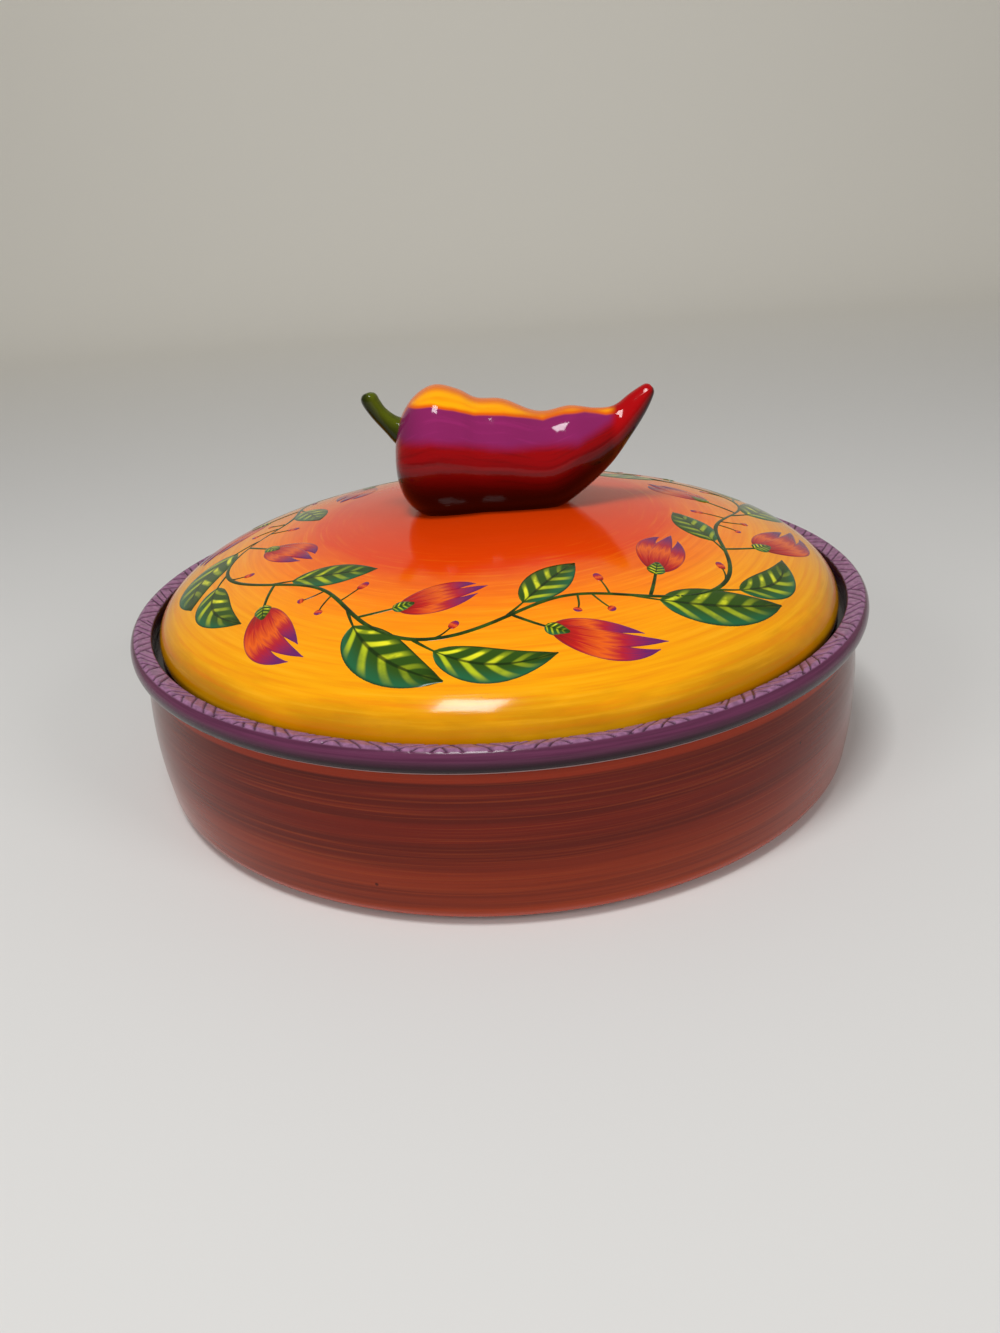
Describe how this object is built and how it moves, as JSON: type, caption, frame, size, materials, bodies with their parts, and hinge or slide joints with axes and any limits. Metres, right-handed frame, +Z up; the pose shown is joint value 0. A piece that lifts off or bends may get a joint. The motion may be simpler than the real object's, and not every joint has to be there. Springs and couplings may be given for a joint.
{
  "type": "tortilla warmer",
  "caption": "Round earthenware tortilla warmer: a low dish with a raised collar and a domed lift-off lid whose knob is a chilli pepper.",
  "frame": {"origin": "centre of the foot ring's standing face, on the table", "axes": "+Z up along the dish's axis; +X along the pepper knob, from its stem towards its tip; -Y faces the viewer"},
  "size_m": [0.28, 0.28, 0.1414],
  "materials": {
    "dish_glaze": "glossy",
    "collar_glaze": "satin",
    "lid_glaze": "glossy",
    "ring_glaze": "glossy",
    "pepper_glaze": "glossy",
    "stem_glaze": "glossy"
  },
  "bodies": {
    "dish": {"dish_bowl": "dish_glaze", "rim_collar": "collar_glaze"},
    "lid": {"lid_dome": "lid_glaze", "lid_locating_ring": "ring_glaze", "pepper_knob": "pepper_glaze", "pepper_stem": "stem_glaze"}
  },
  "joints": [
    {"name": "lid_lift", "type": "slide", "parent": "dish", "child": "lid", "axis": [0, 0, 1], "range_m": [0, 0.12]}
  ]
}
